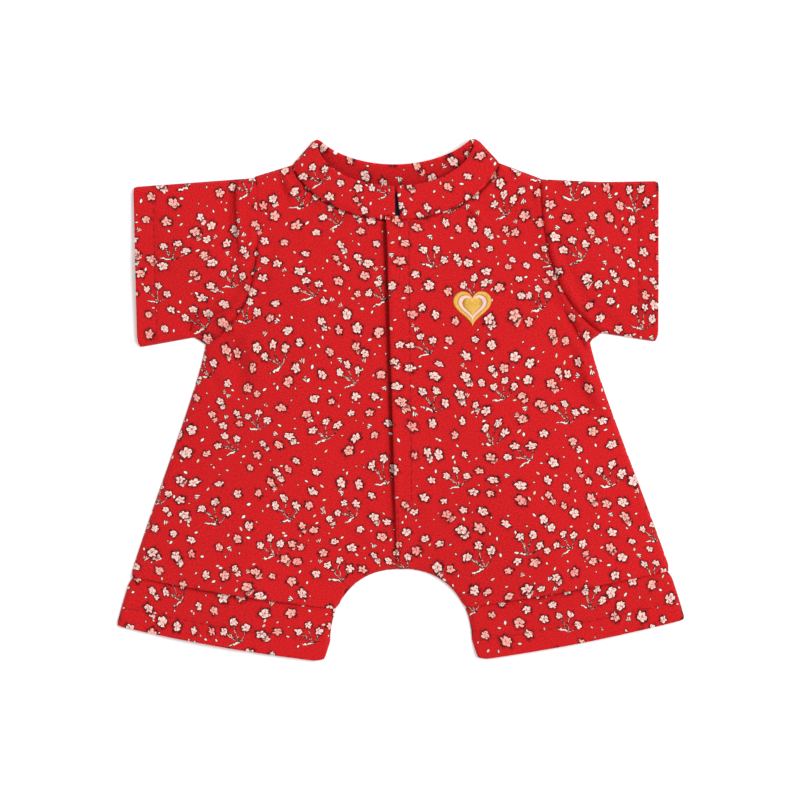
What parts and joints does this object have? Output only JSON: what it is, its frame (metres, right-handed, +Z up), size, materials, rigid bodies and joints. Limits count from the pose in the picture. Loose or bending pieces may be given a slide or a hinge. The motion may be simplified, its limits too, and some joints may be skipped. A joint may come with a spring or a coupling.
{
  "type": "doll romper",
  "caption": "Short-sleeved doll romper laid flat, with a stand collar, set-in sleeves that fold over, leg cuffs that turn up and a front flap closed by hook-and-loop tape.",
  "frame": {"origin": "on the table under the middle of the garment's outline, at the underside of the back panel", "axes": "+X to the wearer's left, +Y to the collar, +Z up out of the front; the garment lies on its back"},
  "size_m": [0.209, 0.192, 0.0107],
  "materials": {
    "cotton": "plain-weave red cotton with a small all-over flower print",
    "tape": "dark woven hook-and-loop tape",
    "gold_thread": "satin-stitched gold thread",
    "pink_thread": "satin-stitched pale pink thread"
  },
  "bodies": {
    "garment": {"back_panel": "cotton", "front_right_panel": "cotton", "front_left_panel": "cotton", "hook_tape": "tape", "collar_back": "cotton", "collar_front_left": "cotton", "collar_front_right": "cotton", "sleeve_head_left": "cotton", "sleeve_head_right": "cotton", "heart_border": "gold_thread", "heart_ring": "gold_thread", "heart_core": "pink_thread"},
    "flap": {"placket_flap": "cotton", "collar_front_tab": "cotton", "loop_tape": "tape"},
    "left_sleeve": {"sleeve_left": "cotton"},
    "right_sleeve": {"sleeve_right": "cotton"},
    "left_cuff": {"leg_cuff_left": "cotton"},
    "right_cuff": {"leg_cuff_right": "cotton"}
  },
  "joints": [
    {"name": "flap_opens", "type": "hinge", "parent": "garment", "child": "flap", "pos_m": [0.0041, 0.015, 0.0109], "axis": [0, 1, 0], "range_deg": [0, 140]},
    {"name": "left_sleeve_folds", "type": "hinge", "parent": "garment", "child": "left_sleeve", "pos_m": [0.06775, 0.05045, 0.0098], "axis": [0.2951, -0.9555, 0], "range_deg": [0, 150]},
    {"name": "right_sleeve_folds", "type": "hinge", "parent": "garment", "child": "right_sleeve", "pos_m": [-0.06775, 0.05045, 0.0098], "axis": [0.2951, 0.9555, 0], "range_deg": [0, 150]},
    {"name": "left_cuff_turns_up", "type": "hinge", "parent": "garment", "child": "left_cuff", "pos_m": [0.0616, -0.07025, 0.0098], "axis": [-0.9859, -0.1674, 0], "range_deg": [0, 150]},
    {"name": "right_cuff_turns_up", "type": "hinge", "parent": "garment", "child": "right_cuff", "pos_m": [-0.0616, -0.07025, 0.0098], "axis": [-0.9859, 0.1674, 0], "range_deg": [0, 150]}
  ]
}
